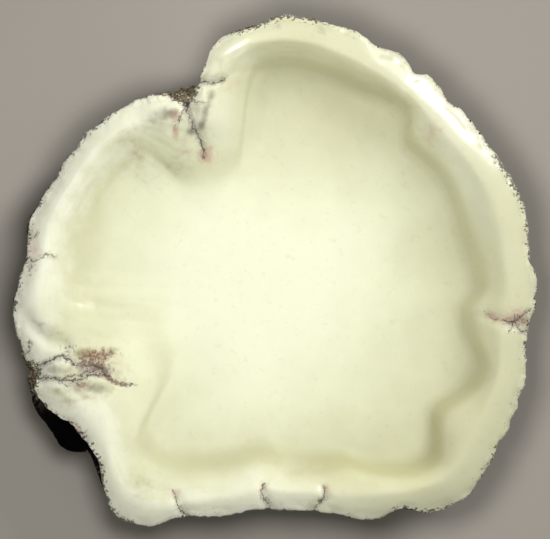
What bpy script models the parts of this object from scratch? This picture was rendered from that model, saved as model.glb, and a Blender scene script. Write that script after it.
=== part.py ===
"""Free-form dish carved from a nodule of datolite, lying on its back with the open side up.

The stone is one closed surface, laid out on rays about a hub in the middle of its floor. Going out along a
ray it is: flat floor, crease, short steep step, wide sloping wall, crest, rolled edge, broken rim, natural
lumpy skin, ground foot. Lengths are millimetres and angles degrees, counterclockwise from +X; the mesh is
turned to metres when it is made.
"""

import math

import bmesh
import bpy
import numpy as np
from mathutils import Vector, noise

MM = 0.001

# Driving dimensions of the section along a ray
FLOOR_HEIGHT = 10.0
FLOOR_DISHING = 0.7
FLOOR_REACH = 42.0
SHARP_STEP = (2.2, 2.8)
SOFT_STEP = (6.0, 1.8)
LEAST_REACH = 1.5
SOFT_REACH = 7.5
RIM_REACH = 8.0
WALL_FULLNESS = 1.4
LEAST_WALL = 1.5
ROLL_WIDTH = 5.6
ROLL_FULLNESS = 1.6
ROLL_LIMIT = 1.3
LIP_DROP = 3.2
LIP_FULLNESS = 1.5
FOOT_RADIUS = 27.0
BELLY_FULLNESS = 0.75
UNDERSIDE_FULLNESS = 1.25
LEAST_RISE = 0.02
QUARTER_TURN = 90.0

# Middle of the floor, which the rays go out from
HUB = (-3.8, -3.9)

# Broken rim of the stone, clockwise from the top
RIM = (
    (2.8, 51.3), (6.0, 50.7), (11.8, 49.5), (18.0, 47.1), (20.8, 44.7), (24.8, 43.3), (26.6, 42.1),
    (28.2, 39.5), (31.0, 39.1), (32.8, 36.9), (35.2, 33.7), (38.0, 31.7), (41.4, 27.1), (43.8, 24.1),
    (45.8, 21.5), (47.8, 18.1), (49.2, 15.3), (50.4, 12.1), (51.0, 6.7), (50.8, 4.9), (51.6, 1.5),
    (52.6, -2.9), (52.6, -4.9), (52.2, -7.7), (51.2, -10.9), (50.5, -14.9), (50.6, -19.1), (50.4, -21.7),
    (49.4, -24.5), (48.2, -28.3), (46.2, -33.3), (44.8, -34.7), (44.0, -37.3), (42.0, -40.7),
    (40.4, -43.7), (39.0, -45.1), (35.0, -47.5), (31.4, -48.5), (24.6, -47.9), (22.4, -49.3),
    (16.8, -49.7), (11.4, -48.7), (7.0, -48.1), (-3.2, -47.9), (-7.0, -48.7), (-13.8, -49.5),
    (-16.8, -49.1), (-23.2, -50.9), (-24.8, -51.5), (-28.2, -50.7), (-31.6, -49.3), (-34.4, -43.1),
    (-35.4, -37.9), (-37.6, -34.7), (-40.0, -31.5), (-42.8, -29.3), (-45.6, -27.3), (-47.8, -24.5),
    (-47.6, -21.3), (-47.6, -19.5), (-50.2, -16.5), (-51.4, -13.3), (-52.2, -10.1), (-52.0, -6.9),
    (-51.0, -1.7), (-49.6, 2.1), (-49.2, 7.1), (-48.8, 10.7), (-47.2, 12.7), (-46.0, 15.1),
    (-43.2, 19.1), (-41.8, 21.9), (-39.8, 24.3), (-38.0, 27.1), (-35.2, 29.1), (-32.4, 31.3),
    (-29.6, 33.1), (-25.0, 34.9), (-21.8, 35.1), (-17.4, 33.7), (-14.8, 37.7), (-14.8, 39.1),
    (-13.8, 41.1), (-12.8, 44.1), (-11.4, 45.9), (-9.2, 47.3), (-6.6, 48.1), (-4.2, 48.9), (-1.6, 49.9),
)

# Crease where the floor meets the wall, clockwise from the top
CREASE = (
    (5.2, 40.5), (15.2, 37.1), (25.8, 32.1), (26.2, 25.1), (34.2, 17.1), (37.2, 8.1), (40.2, -3.9),
    (37.2, -6.9), (38.8, -13.9), (40.8, -18.9), (39.2, -21.9), (31.6, -27.9), (31.2, -36.9),
    (19.2, -38.9), (13.2, -36.9), (1.2, -36.9), (-2.4, -34.3), (-8.8, -36.3), (-22.8, -35.5),
    (-25.8, -31.9), (-25.8, -29.9), (-21.8, -23.9), (-20.8, -15.9), (-23.2, -7.5), (-36.6, -4.9),
    (-36.6, -2.5), (-35.2, 8.1), (-32.8, 18.1), (-28.8, 22.1), (-25.6, 24.5), (-19.8, 18.5),
    (-17.8, 17.7), (-11.8, 18.1), (-6.8, 21.1), (-6.2, 24.1), (-5.4, 34.1), (-4.8, 39.7),
)

# Height of the crest above the ground, by angle
CREST = (
    (0, 17.6), (28, 18.0), (50, 18.4), (88, 18.2), (103, 17.2), (110, 16.3), (118, 17.0), (140, 17.9),
    (165, 17.8), (185, 16.8), (193, 16.0), (200, 15.4), (208, 15.9), (222, 16.0), (234, 15.6), (250, 16.4),
    (275, 16.6), (300, 16.8), (325, 17.3), (345, 17.3),
)

# How far the rolled edge drops from the crest, by angle
ROLL_DROP = (
    (0, 2.0), (24, 2.2), (40, 3.0), (54, 3.0), (70, 2.2), (84, 2.4), (94, 2.9), (102, 2.2), (130, 2.0),
    (230, 1.9), (300, 1.9),
)

# How crisp the crease is, by angle: 1 takes the sharp step and 0 the soft one
CRISPNESS = (
    (0, 1.0), (62, 1.0), (82, 0.8), (92, 0.3), (127, 0.15), (150, 0.2), (180, 0.1), (190, 0.0), (205, 0.0),
    (228, 0.1), (250, 0.25), (275, 0.45), (300, 0.9), (315, 1.0),
)

# How far the dark skin stands out beyond the rim, by angle: less than nothing where the skin hides under it
SKIN_PROUD = (
    (0, -1.2), (60, -1.0), (80, 0.1), (86, 0.4), (93, 0.3), (100, -0.2), (104.4, 0.4), (107.5, 2.2),
    (110, 3.3), (113, 1.6), (115, 0.5), (120, 0.1), (140, 0.2), (160, 0.1), (177, 0.0), (184, 0.7),
    (189, 0.3), (194, 0.6), (196.5, 1.9), (198.4, 2.9), (200.4, 2.8), (203, 2.0), (205, 1.2), (207, 1.8),
    (212.4, 3.2), (218.2, 4.7), (220.5, 4.1), (222.3, 3.0), (224.5, 0.9), (227.4, 1.3), (232, 0.3),
    (238, -0.6), (246, -1.5), (298, -1.5), (303, -0.4), (309, -0.4), (314, -1.2), (345, -1.2),
)

# Furrows worn into the face: half width, depth and course
FURROWS = (
    (1.3, 0.5, ((-47.2, -19.3), (-45.2, -17.9), (-42.6, -17.3), (-37.6, -18.7), (-34.6, -20.1))),
    (1.2, 0.4, ((-47.2, -21.9), (-42.0, -22.3), (-35.2, -20.5))),
    (1.5, 0.8, ((-49.6, -9.5), (-48.0, -11.7), (-45.2, -14.1), (-42.2, -14.7))),
    (1.6, 0.4, ((-17.4, 33.7), (-17.0, 31.3), (-15.0, 26.5), (-14.2, 24.9))),
    (1.2, 0.2, ((-18.2, 31.7), (-19.6, 28.5))),
    (1.1, 0.4, ((-14.6, 37.7), (-12.8, 37.3), (-10.2, 38.1))),
    (2.6, 0.7, ((-26.8, 31.1), (-24.8, 26.1), (-20.8, 19.1))),
    (1.2, 0.5, ((51.2, -10.9), (48.0, -10.9), (42.6, -8.9))),
    (1.0, 0.5, ((-17.6, -48.9), (-19.8, -44.9))),
    (1.0, 0.5, ((-0.8, -47.7), (-2.4, -43.3))),
    (1.0, 0.5, ((7.6, -47.9), (10.4, -45.3), (9.8, -43.5))),
)

# Low swellings of the face: middle, radius and height
SWELLINGS = (
    ((-43.0, -19.8), 2.6, 0.4),
    ((-47.4, -3.6), 4.5, 0.4),
    ((-40.5, -27.0), 4.5, 0.5),
    ((-13.5, 30.5), 4.0, 0.6),
    ((-21.5, 31.0), 3.0, 0.2),
    ((45.5, -13.5), 3.5, 0.3),
)

# Averaging that rounds the soft places: share of the reach, weight, and places around
ROUNDING = ((0.5, 0.7, 6), (1.0, 0.35, 12))

# Lumps of the natural skin: wavelength and height
BIG_LUMPS = (17.0, 2.6)
SMALL_LUMPS = (6.5, 0.9)
RIM_CRUMBLE = (3.2, 0.3)
LIP_LUMPS = 0.7
FOOT_FADE = 30.0
RIM_FADE = 3

# Degrees to each side that an outline is evened over, and places read in them
CREASE_EVENING = (2.0, 5)
RIM_EVENING = (7.0, 7)

# The same for the ring of facets along the crease, crisp and soft
CRISP_SPREAD = 2.0
SOFT_SPREAD = 16.0
SPREAD_PLACES = 9

# Facets: rays around the hub, then the rings along a ray by share of each stretch
RAYS = 144
FLOOR_RINGS = (0.25, 0.5, 0.75, 0.92, 1.0)
STEP_RINGS = (0.5, 1.0)
WALL_RINGS = (0.16, 0.33, 0.5, 0.67, 0.84, 1.0)
ROLL_RINGS = (0.4, 0.75, 1.0)
LIP_RINGS = (0.35, 0.7, 1.0)
BELLY_TURNS = (15, 30, 45, 60, 74, 90)
FOOT_RINGS = (0.5,)
SHARP_ANGLE = 70.0

# Finish
STONE_COLOUR = (0.78, 0.78, 0.60, 1.0)
STONE_ROUGHNESS = 0.2


def around(table, angles):
    """Smooth closed curve through a table of (angle, value), read at the angles, with no overshoot."""
    rows = np.array(sorted((angle % 360.0, value) for angle, value in table))
    at = np.concatenate((rows[-2:, 0] - 360.0, rows[:, 0], rows[:2, 0] + 360.0))
    value = np.concatenate((rows[-2:, 1], rows[:, 1], rows[:2, 1]))
    gap = np.diff(at)
    slope = np.diff(value) / gap
    before, after = slope[:-1], slope[1:]
    tangent = np.zeros_like(value)
    rising = before * after > 0.0
    tangent[1:-1][rising] = 2.0 * before[rising] * after[rising] / (before[rising] + after[rising])
    k = np.searchsorted(at, angles, side="right") - 1
    u = (angles - at[k]) / gap[k]
    start = (1.0 + 2.0 * u) * (1.0 - u) ** 2 * value[k] + u * (1.0 - u) ** 2 * gap[k] * tangent[k]
    end = u**2 * (3.0 - 2.0 * u) * value[k + 1] + u**2 * (u - 1.0) * gap[k] * tangent[k + 1]
    return start + end


def outline(points, angles):
    """Radius about the hub of a closed outline, read at the angles."""
    table = []
    for x, y in points:
        east, north = x - HUB[0], y - HUB[1]
        table.append((math.degrees(math.atan2(north, east)), math.hypot(east, north)))
    return around(table, angles)


def evened(points, angles, spread, places):
    """Radius about the hub of a closed outline, averaged over a few degrees to each side."""
    shares = np.linspace(-1.0, 1.0, places)
    return sum(outline(points, (angles + spread * share) % 360.0) for share in shares) / places


def ease(u):
    """Smooth rise from 0 to 1."""
    u = np.clip(u, 0.0, 1.0)
    return u * u * (3.0 - 2.0 * u)


def distance_to_course(x, y, course):
    """Distance of each point to a course of straight runs."""
    nearest = np.full(np.shape(x), np.inf)
    for (x0, y0), (x1, y1) in zip(course, course[1:]):
        run = (x1 - x0, y1 - y0)
        share = ((x - x0) * run[0] + (y - y0) * run[1]) / (run[0] ** 2 + run[1] ** 2)
        share = np.clip(share, 0.0, 1.0)
        nearest = np.minimum(nearest, np.hypot(x - x0 - share * run[0], y - y0 - share * run[1]))
    return nearest


def face_relief(x, y):
    """Height that the furrows and swellings add to the polished face."""
    relief = np.zeros_like(x)
    for half_width, depth, course in FURROWS:
        relief -= depth * np.exp(-((distance_to_course(x, y, course) / half_width) ** 2))
    for (mid_x, mid_y), radius, height in SWELLINGS:
        relief += height * np.exp(-(((x - mid_x) ** 2 + (y - mid_y) ** 2) / radius**2))
    return relief


def lumpiness(x, y, z, lumps):
    """Noise of one wavelength and height at each point."""
    wavelength, height = lumps
    places = np.stack((x, y, z), axis=-1).reshape(-1, 3) / wavelength
    values = [noise.noise(Vector(place)) for place in places.tolist()]
    return height * np.array(values).reshape(np.shape(x))


def section(angles):
    """Crease, end of the step and crest along each ray, then the step's height and the crest's."""
    crisp = around(CRISPNESS, angles)
    step_width = SOFT_STEP[0] + (SHARP_STEP[0] - SOFT_STEP[0]) * crisp
    step_height = SOFT_STEP[1] + (SHARP_STEP[1] - SOFT_STEP[1]) * crisp
    crease = evened(CREASE, angles, *CREASE_EVENING)
    crest_at = evened(RIM, angles, *RIM_EVENING) - ROLL_WIDTH
    wall_start = np.minimum(crease + step_width, crest_at - LEAST_WALL)
    return crease, wall_start, crest_at, step_height, around(CREST, angles)


def raw_face(x, y):
    """Height of the face over each point of the plane, before its soft places are rounded."""
    east, north = x - HUB[0], y - HUB[1]
    angles, radius = np.degrees(np.arctan2(north, east)) % 360.0, np.hypot(east, north)
    crease, wall_start, crest_at, step_height, crest = section(angles)
    floor = FLOOR_HEIGHT + FLOOR_DISHING * (radius / FLOOR_REACH) ** 2
    step = step_height * ease((radius - crease) / (wall_start - crease))
    wall_share = np.clip((radius - wall_start) / (crest_at - wall_start), 0.0, 1.0)
    rise = 1.0 - (1.0 - wall_share) ** WALL_FULLNESS
    roll_share = np.clip((radius - crest_at) / ROLL_WIDTH, 0.0, ROLL_LIMIT)
    roll = around(ROLL_DROP, angles) * roll_share**ROLL_FULLNESS
    return floor + step + (crest - floor - step_height) * rise - roll


def face_height(x, y):
    """Height of the face with its soft places rounded, as polishing leaves them."""
    east, north = x - HUB[0], y - HUB[1]
    angles = np.degrees(np.arctan2(north, east)) % 360.0
    to_rim = np.clip((outline(RIM, angles) - np.hypot(east, north)) / RIM_REACH, 0.0, 1.0)
    soft = 1.0 - around(CRISPNESS, angles)
    reach = (LEAST_REACH + (SOFT_REACH - LEAST_REACH) * soft) * to_rim
    total, weights = raw_face(x, y), 1.0
    for share, weight, places in ROUNDING:
        for place in range(places):
            turn = math.tau * place / places
            shift_x, shift_y = reach * share * math.cos(turn), reach * share * math.sin(turn)
            total = total + weight * raw_face(x + shift_x, y + shift_y)
            weights += weight
    return total / weights + face_relief(x, y)


def face_rings(angles):
    """Radius of the rings from the floor to the rim, row by row."""
    crease, wall_start, _, _, _ = section(angles)
    rim = outline(RIM, angles)
    crest_at = rim - ROLL_WIDTH
    spread = CRISP_SPREAD + (SOFT_SPREAD - CRISP_SPREAD) * (1.0 - around(CRISPNESS, angles))
    laid = evened(CREASE, angles, spread, SPREAD_PLACES)
    wall_start = np.minimum(wall_start + laid - crease, crest_at - LEAST_WALL)
    rows = [laid * share for share in FLOOR_RINGS]
    rows += [laid + (wall_start - laid) * share for share in STEP_RINGS]
    rows += [wall_start + (crest_at - wall_start) * share for share in WALL_RINGS]
    rows += [crest_at + (rim - crest_at) * share for share in ROLL_RINGS]
    return rows


def skin_rings(angles):
    """Radius, height, turn downwards and share of lumps of the rings from under the rim to the foot."""
    rim = outline(RIM, angles)
    belly = rim + around(SKIN_PROUD, angles)
    edge = around(CREST, angles) - around(ROLL_DROP, angles)
    rows = []
    for share in LIP_RINGS:
        radius, height = rim + (belly - rim) * share, edge - LIP_DROP * share**LIP_FULLNESS
        rows.append((radius, height, 0.0, LIP_LUMPS * share))
    for turn in BELLY_TURNS:
        out, down = math.cos(math.radians(turn)), math.sin(math.radians(turn))
        radius = FOOT_RADIUS + (belly - FOOT_RADIUS) * max(out, 0.0) ** BELLY_FULLNESS
        height = (edge - LIP_DROP) * (1.0 - down**UNDERSIDE_FULLNESS)
        rows.append((radius, height, turn, min(1.0, (QUARTER_TURN - turn) / FOOT_FADE)))
    return rows


def to_plane(radius, angles):
    """Place in the plane of a ring's points."""
    turn = np.radians(angles)
    return HUB[0] + radius * np.cos(turn), HUB[1] + radius * np.sin(turn)


def stone_rings():
    """All the rings of the stone from the floor's middle to the foot's, as rows of places."""
    angles = np.arange(RAYS) * 360.0 / RAYS
    rings = []
    for radius in face_rings(angles):
        x, y = to_plane(radius, angles)
        rings.append(np.stack((x, y, face_height(x, y)), axis=-1))
    edge = rings[-1]
    edge[:, 2] += lumpiness(edge[:, 0], edge[:, 1], edge[:, 2], RIM_CRUMBLE)
    nominal_edge = around(CREST, angles) - around(ROLL_DROP, angles)
    for radius, height, turn, share in skin_rings(angles):
        x, y = to_plane(radius, angles)
        lumps = lumpiness(x, y, height, BIG_LUMPS) + lumpiness(x, y, height, SMALL_LUMPS)
        out, down = math.cos(math.radians(turn)), math.sin(math.radians(turn))
        x, y = to_plane(radius + share * lumps * out, angles)
        follow = (edge[:, 2] - nominal_edge) * (height / nominal_edge) ** RIM_FADE
        height = height - share * lumps * down + follow
        rings.append(np.stack((x, y, np.maximum(height, LEAST_RISE * (QUARTER_TURN - turn))), axis=-1))
    rings[-1][:, 2] = 0.0
    foot = rings[-1] - (HUB[0], HUB[1], 0.0)
    rings += [foot * share + (HUB[0], HUB[1], 0.0) for share in FOOT_RINGS]
    return rings


def stone_mesh(name):
    """Closed mesh of the stone, centred over the origin and standing on the ground."""
    rings = stone_rings()
    floor_middle = (HUB[0], HUB[1], FLOOR_HEIGHT)
    foot_middle = (HUB[0], HUB[1], 0.0)
    points = np.concatenate([np.array([floor_middle])] + rings + [np.array([foot_middle])])
    points[:, :2] -= (points[:, :2].min(axis=0) + points[:, :2].max(axis=0)) / 2.0
    points *= MM
    last = len(points) - 1
    faces = []
    for ray in range(RAYS):
        beside = (ray + 1) % RAYS
        faces.append((0, 1 + ray, 1 + beside))
        for ring in range(len(rings) - 1):
            inner, outer = 1 + ring * RAYS, 1 + (ring + 1) * RAYS
            faces.append((inner + ray, outer + ray, outer + beside, inner + beside))
        inner = 1 + (len(rings) - 1) * RAYS
        faces.append((inner + ray, last, inner + beside))
    mesh = bpy.data.meshes.new(name)
    mesh.from_pydata(points.tolist(), [], faces)
    work = bmesh.new()
    work.from_mesh(mesh)
    bmesh.ops.triangulate(work, faces=work.faces[:])
    bmesh.ops.recalc_face_normals(work, faces=work.faces[:])
    work.to_mesh(mesh)
    work.free()
    return mesh


def stone_material():
    """Polished porcelain-like datolite: pale greenish cream, glossy."""
    material = bpy.data.materials.new("polished_porcelain_datolite")
    material.use_nodes = True
    shader = material.node_tree.nodes["Principled BSDF"]
    shader.inputs["Base Color"].default_value = STONE_COLOUR
    shader.inputs["Roughness"].default_value = STONE_ROUGHNESS
    shader.inputs["Metallic"].default_value = 0.0
    return material


def main():
    """Clear the scene and make the dish."""
    for thing in list(bpy.data.objects):
        bpy.data.objects.remove(thing)
    mesh = stone_mesh("datolite_dish")
    mesh.shade_smooth()
    mesh.set_sharp_from_angle(angle=math.radians(SHARP_ANGLE))
    mesh.materials.append(stone_material())
    dish = bpy.data.objects.new("datolite_dish", mesh)
    bpy.context.scene.collection.objects.link(dish)


main()
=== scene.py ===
"""Looks of a free-form dish carved and polished from a datolite nodule.

The stone is one closed surface laid out on rays about a hub in the middle of its floor. Lengths are
millimetres and angles degrees, counterclockwise from +X, until a mesh is made in metres.
"""

import logging
import math
from dataclasses import dataclass, field
from enum import Enum

import bpy
import numpy as np
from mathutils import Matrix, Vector, noise


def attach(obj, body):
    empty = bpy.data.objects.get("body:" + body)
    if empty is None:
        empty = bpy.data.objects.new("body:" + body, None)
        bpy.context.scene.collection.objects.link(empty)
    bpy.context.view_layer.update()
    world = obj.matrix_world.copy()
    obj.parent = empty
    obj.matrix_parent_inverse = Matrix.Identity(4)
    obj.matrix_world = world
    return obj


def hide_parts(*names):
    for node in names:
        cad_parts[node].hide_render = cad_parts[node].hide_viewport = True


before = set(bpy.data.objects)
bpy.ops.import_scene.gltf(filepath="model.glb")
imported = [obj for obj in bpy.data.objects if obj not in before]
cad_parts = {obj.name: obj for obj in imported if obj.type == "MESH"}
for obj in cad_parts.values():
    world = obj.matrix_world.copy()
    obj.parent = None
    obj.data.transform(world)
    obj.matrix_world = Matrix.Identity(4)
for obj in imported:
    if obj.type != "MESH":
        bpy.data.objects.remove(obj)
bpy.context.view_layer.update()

MM = 0.001
LOG = logging.getLogger("datolite_dish")
Rows = tuple[tuple[float, float], ...]
Socket = bpy.types.NodeSocket
# Colour from another node, or in sRGB hex
Paint = Socket | str
# How much of a colour shows at most, and the colour in sRGB hex
Tint = tuple[float, str]
# Width of a patch in millimetres, and the noise values where it begins and is full
Mottle = tuple[float, float, float]
# Width of the raggedness in millimetres, how far noise shifts the cover, and where it begins and is full
Ragged = tuple[float, float, float, float]
# Noise values that nearly all of the noise lies between
NOISE_SPAN = (0.2, 0.8)


def linear(hex_colour: str) -> tuple[float, float, float, float]:
    """Turn an sRGB hex colour to the linear colour that a shader takes.

    Args:
        hex_colour: Six hex digits after a hash.

    Returns:
        Red, green, blue and alpha.
    """
    parts = [int(hex_colour[i : i + 2], 16) / 255.0 for i in (1, 3, 5)]
    red, green, blue = [p / 12.92 if p <= 0.04045 else ((p + 0.055) / 1.055) ** 2.4 for p in parts]
    return red, green, blue, 1.0


def give(tree: bpy.types.NodeTree, node: bpy.types.Node, inputs: dict) -> None:
    """Set or link a node's inputs.

    Args:
        tree: Tree that holds the node.
        node: The node.
        inputs: Value, hex colour or output socket for each input, by the input's name or number.
    """
    for name, value in inputs.items():
        if isinstance(value, Socket):
            tree.links.new(value, node.inputs[name])
        elif isinstance(value, str) and value.startswith("#"):
            node.inputs[name].default_value = linear(value)
        else:
            node.inputs[name].default_value = value


def add(
    tree: bpy.types.NodeTree, kind: str, inputs: dict | None = None, out: int | str = 0, **settings: object
) -> Socket:
    """Add a node with its settings, values and links.

    Args:
        tree: Tree that takes the node.
        kind: Blender's name for the node type.
        inputs: Value, hex colour or output socket for each input, by the input's name or number.
        out: Name or number of the output that is given back.
        **settings: Properties of the node itself.

    Returns:
        The chosen output of the new node.
    """
    node = tree.nodes.new(kind)
    for name, value in settings.items():
        setattr(node, name, value)
    give(tree, node, inputs or {})
    return node.outputs[out]


def put(name: str, data: bpy.types.ID) -> bpy.types.Object:
    """Put an object into the scene.

    Args:
        name: Name of the object.
        data: Its mesh, light or camera.

    Returns:
        The object.
    """
    made = bpy.data.objects.new(name, data)
    bpy.context.scene.collection.objects.link(made)
    return made


def ease(u: np.ndarray) -> np.ndarray:
    """Smooth rise from 0 to 1."""
    u = np.clip(u, 0.0, 1.0)
    return u * u * (3.0 - 2.0 * u)


def ripple(places: np.ndarray, wavelength: float, height: float) -> np.ndarray:
    """Smooth noise at rows of x, y and z, with lumps of a length and a height."""
    rows = (places / wavelength).tolist()
    return height * np.array([noise.noise(Vector(row)) for row in rows])


@dataclass(frozen=True)
class RoundTable:
    """Closed smooth curve through rows of angle and value, with no overshoot between two rows."""

    rows: Rows

    def read(self, angles: np.ndarray) -> np.ndarray:
        """Read the curve.

        Args:
            angles: Angles from 0 to 360.

        Returns:
            Value at each angle.
        """
        rows = np.array(sorted((angle % 360.0, value) for angle, value in self.rows))
        at = np.concatenate((rows[-2:, 0] - 360.0, rows[:, 0], rows[:2, 0] + 360.0))
        value = np.concatenate((rows[-2:, 1], rows[:, 1], rows[:2, 1]))
        gap = np.diff(at)
        slope = np.diff(value) / gap
        before, after = slope[:-1], slope[1:]
        tangent = np.zeros_like(value)
        rising = before * after > 0.0
        tangent[1:-1][rising] = 2.0 * before[rising] * after[rising] / (before[rising] + after[rising])
        k = np.searchsorted(at, angles, side="right") - 1
        u = (angles - at[k]) / gap[k]
        start = (1.0 + 2.0 * u) * (1.0 - u) ** 2 * value[k] + u * (1.0 - u) ** 2 * gap[k] * tangent[k]
        end = u**2 * (3.0 - 2.0 * u) * value[k + 1] + u**2 * (u - 1.0) * gap[k] * tangent[k + 1]
        return start + end


@dataclass(frozen=True)
class Course:
    """Run of straight lengths over the face, such as a crack or a furrow."""

    points: Rows

    def nearest(self, x: np.ndarray, y: np.ndarray) -> tuple[np.ndarray, np.ndarray]:
        """Measure how far each point lies from the course.

        Args:
            x: Places along X.
            y: Places along Y.

        Returns:
            Distance to the course, and the distance to one side of the nearest run, with its sign.
        """
        distance, side = np.full(x.shape, np.inf), np.zeros(x.shape)
        for (x0, y0), (x1, y1) in zip(self.points, self.points[1:]):
            run_x, run_y = x1 - x0, y1 - y0
            length = math.hypot(run_x, run_y)
            share = np.clip(((x - x0) * run_x + (y - y0) * run_y) / length**2, 0.0, 1.0)
            found = np.hypot(x - x0 - share * run_x, y - y0 - share * run_y)
            across = ((x - x0) * run_y - (y - y0) * run_x) / length
            closer = found < distance
            distance, side = np.where(closer, found, distance), np.where(closer, across, side)
        return distance, side


@dataclass(frozen=True)
class Furrow:
    """Shallow furrow worn into the face, as in the solid."""

    half_width: float
    depth: float
    course: Course


class CrackFamily(Enum):
    """Sets of cracks that lie far enough apart to share one attribute."""

    MAIN = "crack_main"
    SIDE = "crack_side"
    CROSS = "crack_cross"


@dataclass(frozen=True)
class Crack:
    """Crack in the polished face, filled with dark iron-stained grains."""

    family: CrackFamily
    strength: float
    course: Course


class StainKind(Enum):
    """Colours that have soaked into the stone, and patches of painted shade and painted light."""

    BROWN = "stain_brown"
    PURPLE = "stain_purple"
    OLIVE = "stain_olive"
    GREY = "stain_grey"
    PINK = "stain_pink"
    # Cloudy white lobes, and painted light on the right crease's step
    WHITE = "stain_white"
    # Patches of painted shade on the floor and walls
    THICK = "stain_thick"


@dataclass(frozen=True)
class Stain:
    """Soft oval stain on the face, also used for patches of painted shade and painted light."""

    kind: StainKind
    strength: float
    middle: tuple[float, float]
    radii: tuple[float, float]
    turn: float = 0.0

    def cover(self, x: np.ndarray, y: np.ndarray) -> np.ndarray:
        """Measure how strong the stain is.

        Args:
            x: Places along X.
            y: Places along Y.

        Returns:
            Strength at each place.
        """
        out, up = math.cos(math.radians(self.turn)), math.sin(math.radians(self.turn))
        east, north = x - self.middle[0], y - self.middle[1]
        along, across = east * out + north * up, north * out - east * up
        return self.strength * np.exp(-((along / self.radii[0]) ** 2) - (across / self.radii[1]) ** 2)


# Middle of the floor, which the rays go out from
HUB = (-3.8, -3.9)

# Broken rim of the stone, clockwise from the top
RIM: Rows = (
    (2.8, 51.3), (6.0, 50.7), (11.8, 49.5), (18.0, 47.1), (20.8, 44.7), (24.8, 43.3), (26.6, 42.1),
    (28.2, 39.5), (31.0, 39.1), (32.8, 36.9), (35.2, 33.7), (38.0, 31.7), (41.4, 27.1), (43.8, 24.1),
    (45.8, 21.5), (47.8, 18.1), (49.2, 15.3), (50.4, 12.1), (51.0, 6.7), (50.8, 4.9), (51.6, 1.5),
    (52.6, -2.9), (52.6, -4.9), (52.2, -7.7), (51.2, -10.9), (50.5, -14.9), (50.6, -19.1), (50.4, -21.7),
    (49.4, -24.5), (48.2, -28.3), (46.2, -33.3), (44.8, -34.7), (44.0, -37.3), (42.0, -40.7),
    (40.4, -43.7), (39.0, -45.1), (35.0, -47.5), (31.4, -48.5), (24.6, -47.9), (22.4, -49.3),
    (16.8, -49.7), (11.4, -48.7), (7.0, -48.1), (-3.2, -47.9), (-7.0, -48.7), (-13.8, -49.5),
    (-16.8, -49.1), (-23.2, -50.9), (-24.8, -51.5), (-28.2, -50.7), (-31.6, -49.3), (-34.4, -43.1),
    (-35.4, -37.9), (-37.6, -34.7), (-40.0, -31.5), (-42.8, -29.3), (-45.6, -27.3), (-47.8, -24.5),
    (-47.6, -21.3), (-47.6, -19.5), (-50.2, -16.5), (-51.4, -13.3), (-52.2, -10.1), (-52.0, -6.9),
    (-51.0, -1.7), (-49.6, 2.1), (-49.2, 7.1), (-48.8, 10.7), (-47.2, 12.7), (-46.0, 15.1),
    (-43.2, 19.1), (-41.8, 21.9), (-39.8, 24.3), (-38.0, 27.1), (-35.2, 29.1), (-32.4, 31.3),
    (-29.6, 33.1), (-25.0, 34.9), (-21.8, 35.1), (-17.4, 33.7), (-14.8, 37.7), (-14.8, 39.1),
    (-13.8, 41.1), (-12.8, 44.1), (-11.4, 45.9), (-9.2, 47.3), (-6.6, 48.1), (-4.2, 48.9), (-1.6, 49.9),
)

# Crease where the floor meets the wall, clockwise from the top
CREASE: Rows = (
    (5.2, 40.5), (15.2, 37.1), (25.8, 32.1), (26.2, 25.1), (34.2, 17.1), (37.2, 8.1), (40.2, -3.9),
    (37.2, -6.9), (38.8, -13.9), (40.8, -18.9), (39.2, -21.9), (31.6, -27.9), (31.2, -36.9),
    (19.2, -38.9), (13.2, -36.9), (1.2, -36.9), (-2.4, -34.3), (-8.8, -36.3), (-22.8, -35.5),
    (-25.8, -31.9), (-25.8, -29.9), (-21.8, -23.9), (-20.8, -15.9), (-23.2, -7.5), (-36.6, -4.9),
    (-36.6, -2.5), (-35.2, 8.1), (-32.8, 18.1), (-28.8, 22.1), (-25.6, 24.5), (-19.8, 18.5),
    (-17.8, 17.7), (-11.8, 18.1), (-6.8, 21.1), (-6.2, 24.1), (-5.4, 34.1), (-4.8, 39.7),
)

# Height of the crest above the ground, by angle
CREST = RoundTable((
    (0, 17.6), (28, 18.0), (50, 18.4), (88, 18.2), (103, 17.2), (110, 16.3), (118, 17.0), (140, 17.9),
    (165, 17.8), (185, 16.8), (193, 16.0), (200, 15.4), (208, 15.9), (222, 16.0), (234, 15.6), (250, 16.4),
    (275, 16.6), (300, 16.8), (325, 17.3), (345, 17.3),
))

# How far the rolled edge drops from the crest, by angle
ROLL_DROP = RoundTable((
    (0, 2.0), (24, 2.2), (40, 3.0), (54, 3.0), (70, 2.2), (84, 2.4), (94, 2.9), (102, 2.2), (130, 2.0),
    (230, 1.9), (300, 1.9),
))

# How crisp the crease is, by angle: 1 takes the sharp step and 0 the soft one
CRISPNESS = RoundTable((
    (0, 1.0), (62, 1.0), (82, 0.8), (92, 0.3), (127, 0.15), (150, 0.2), (180, 0.1), (190, 0.0), (205, 0.0),
    (228, 0.1), (250, 0.25), (275, 0.45), (300, 0.9), (315, 1.0),
))

# How deep the olive tint of the crease is, by angle, deepened as painted shade of the crease
CREASE_SHADE_TINT = RoundTable((
    (0, 0.65), (20, 0.6), (40, 0.8), (62, 0.85), (85, 0.65), (95, 0.4), (112, 0.3), (128, 0.5), (150, 0.45),
    (180, 0.3), (200, 0.15), (225, 0.4), (245, 0.6), (270, 0.7), (285, 0.75), (303, 1.0), (330, 0.95),
))

# How wide the olive band and painted shade of the crease are, by angle
CREASE_SHADE_BAND = RoundTable((
    (0, 3.0), (14, 2.7), (30, 2.4), (45, 2.2), (62, 2.1), (85, 2.4), (110, 5.0), (150, 6.0), (200, 5.0),
    (230, 3.6), (255, 3.8), (285, 4.0), (303, 3.0), (335, 3.0),
))

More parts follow.
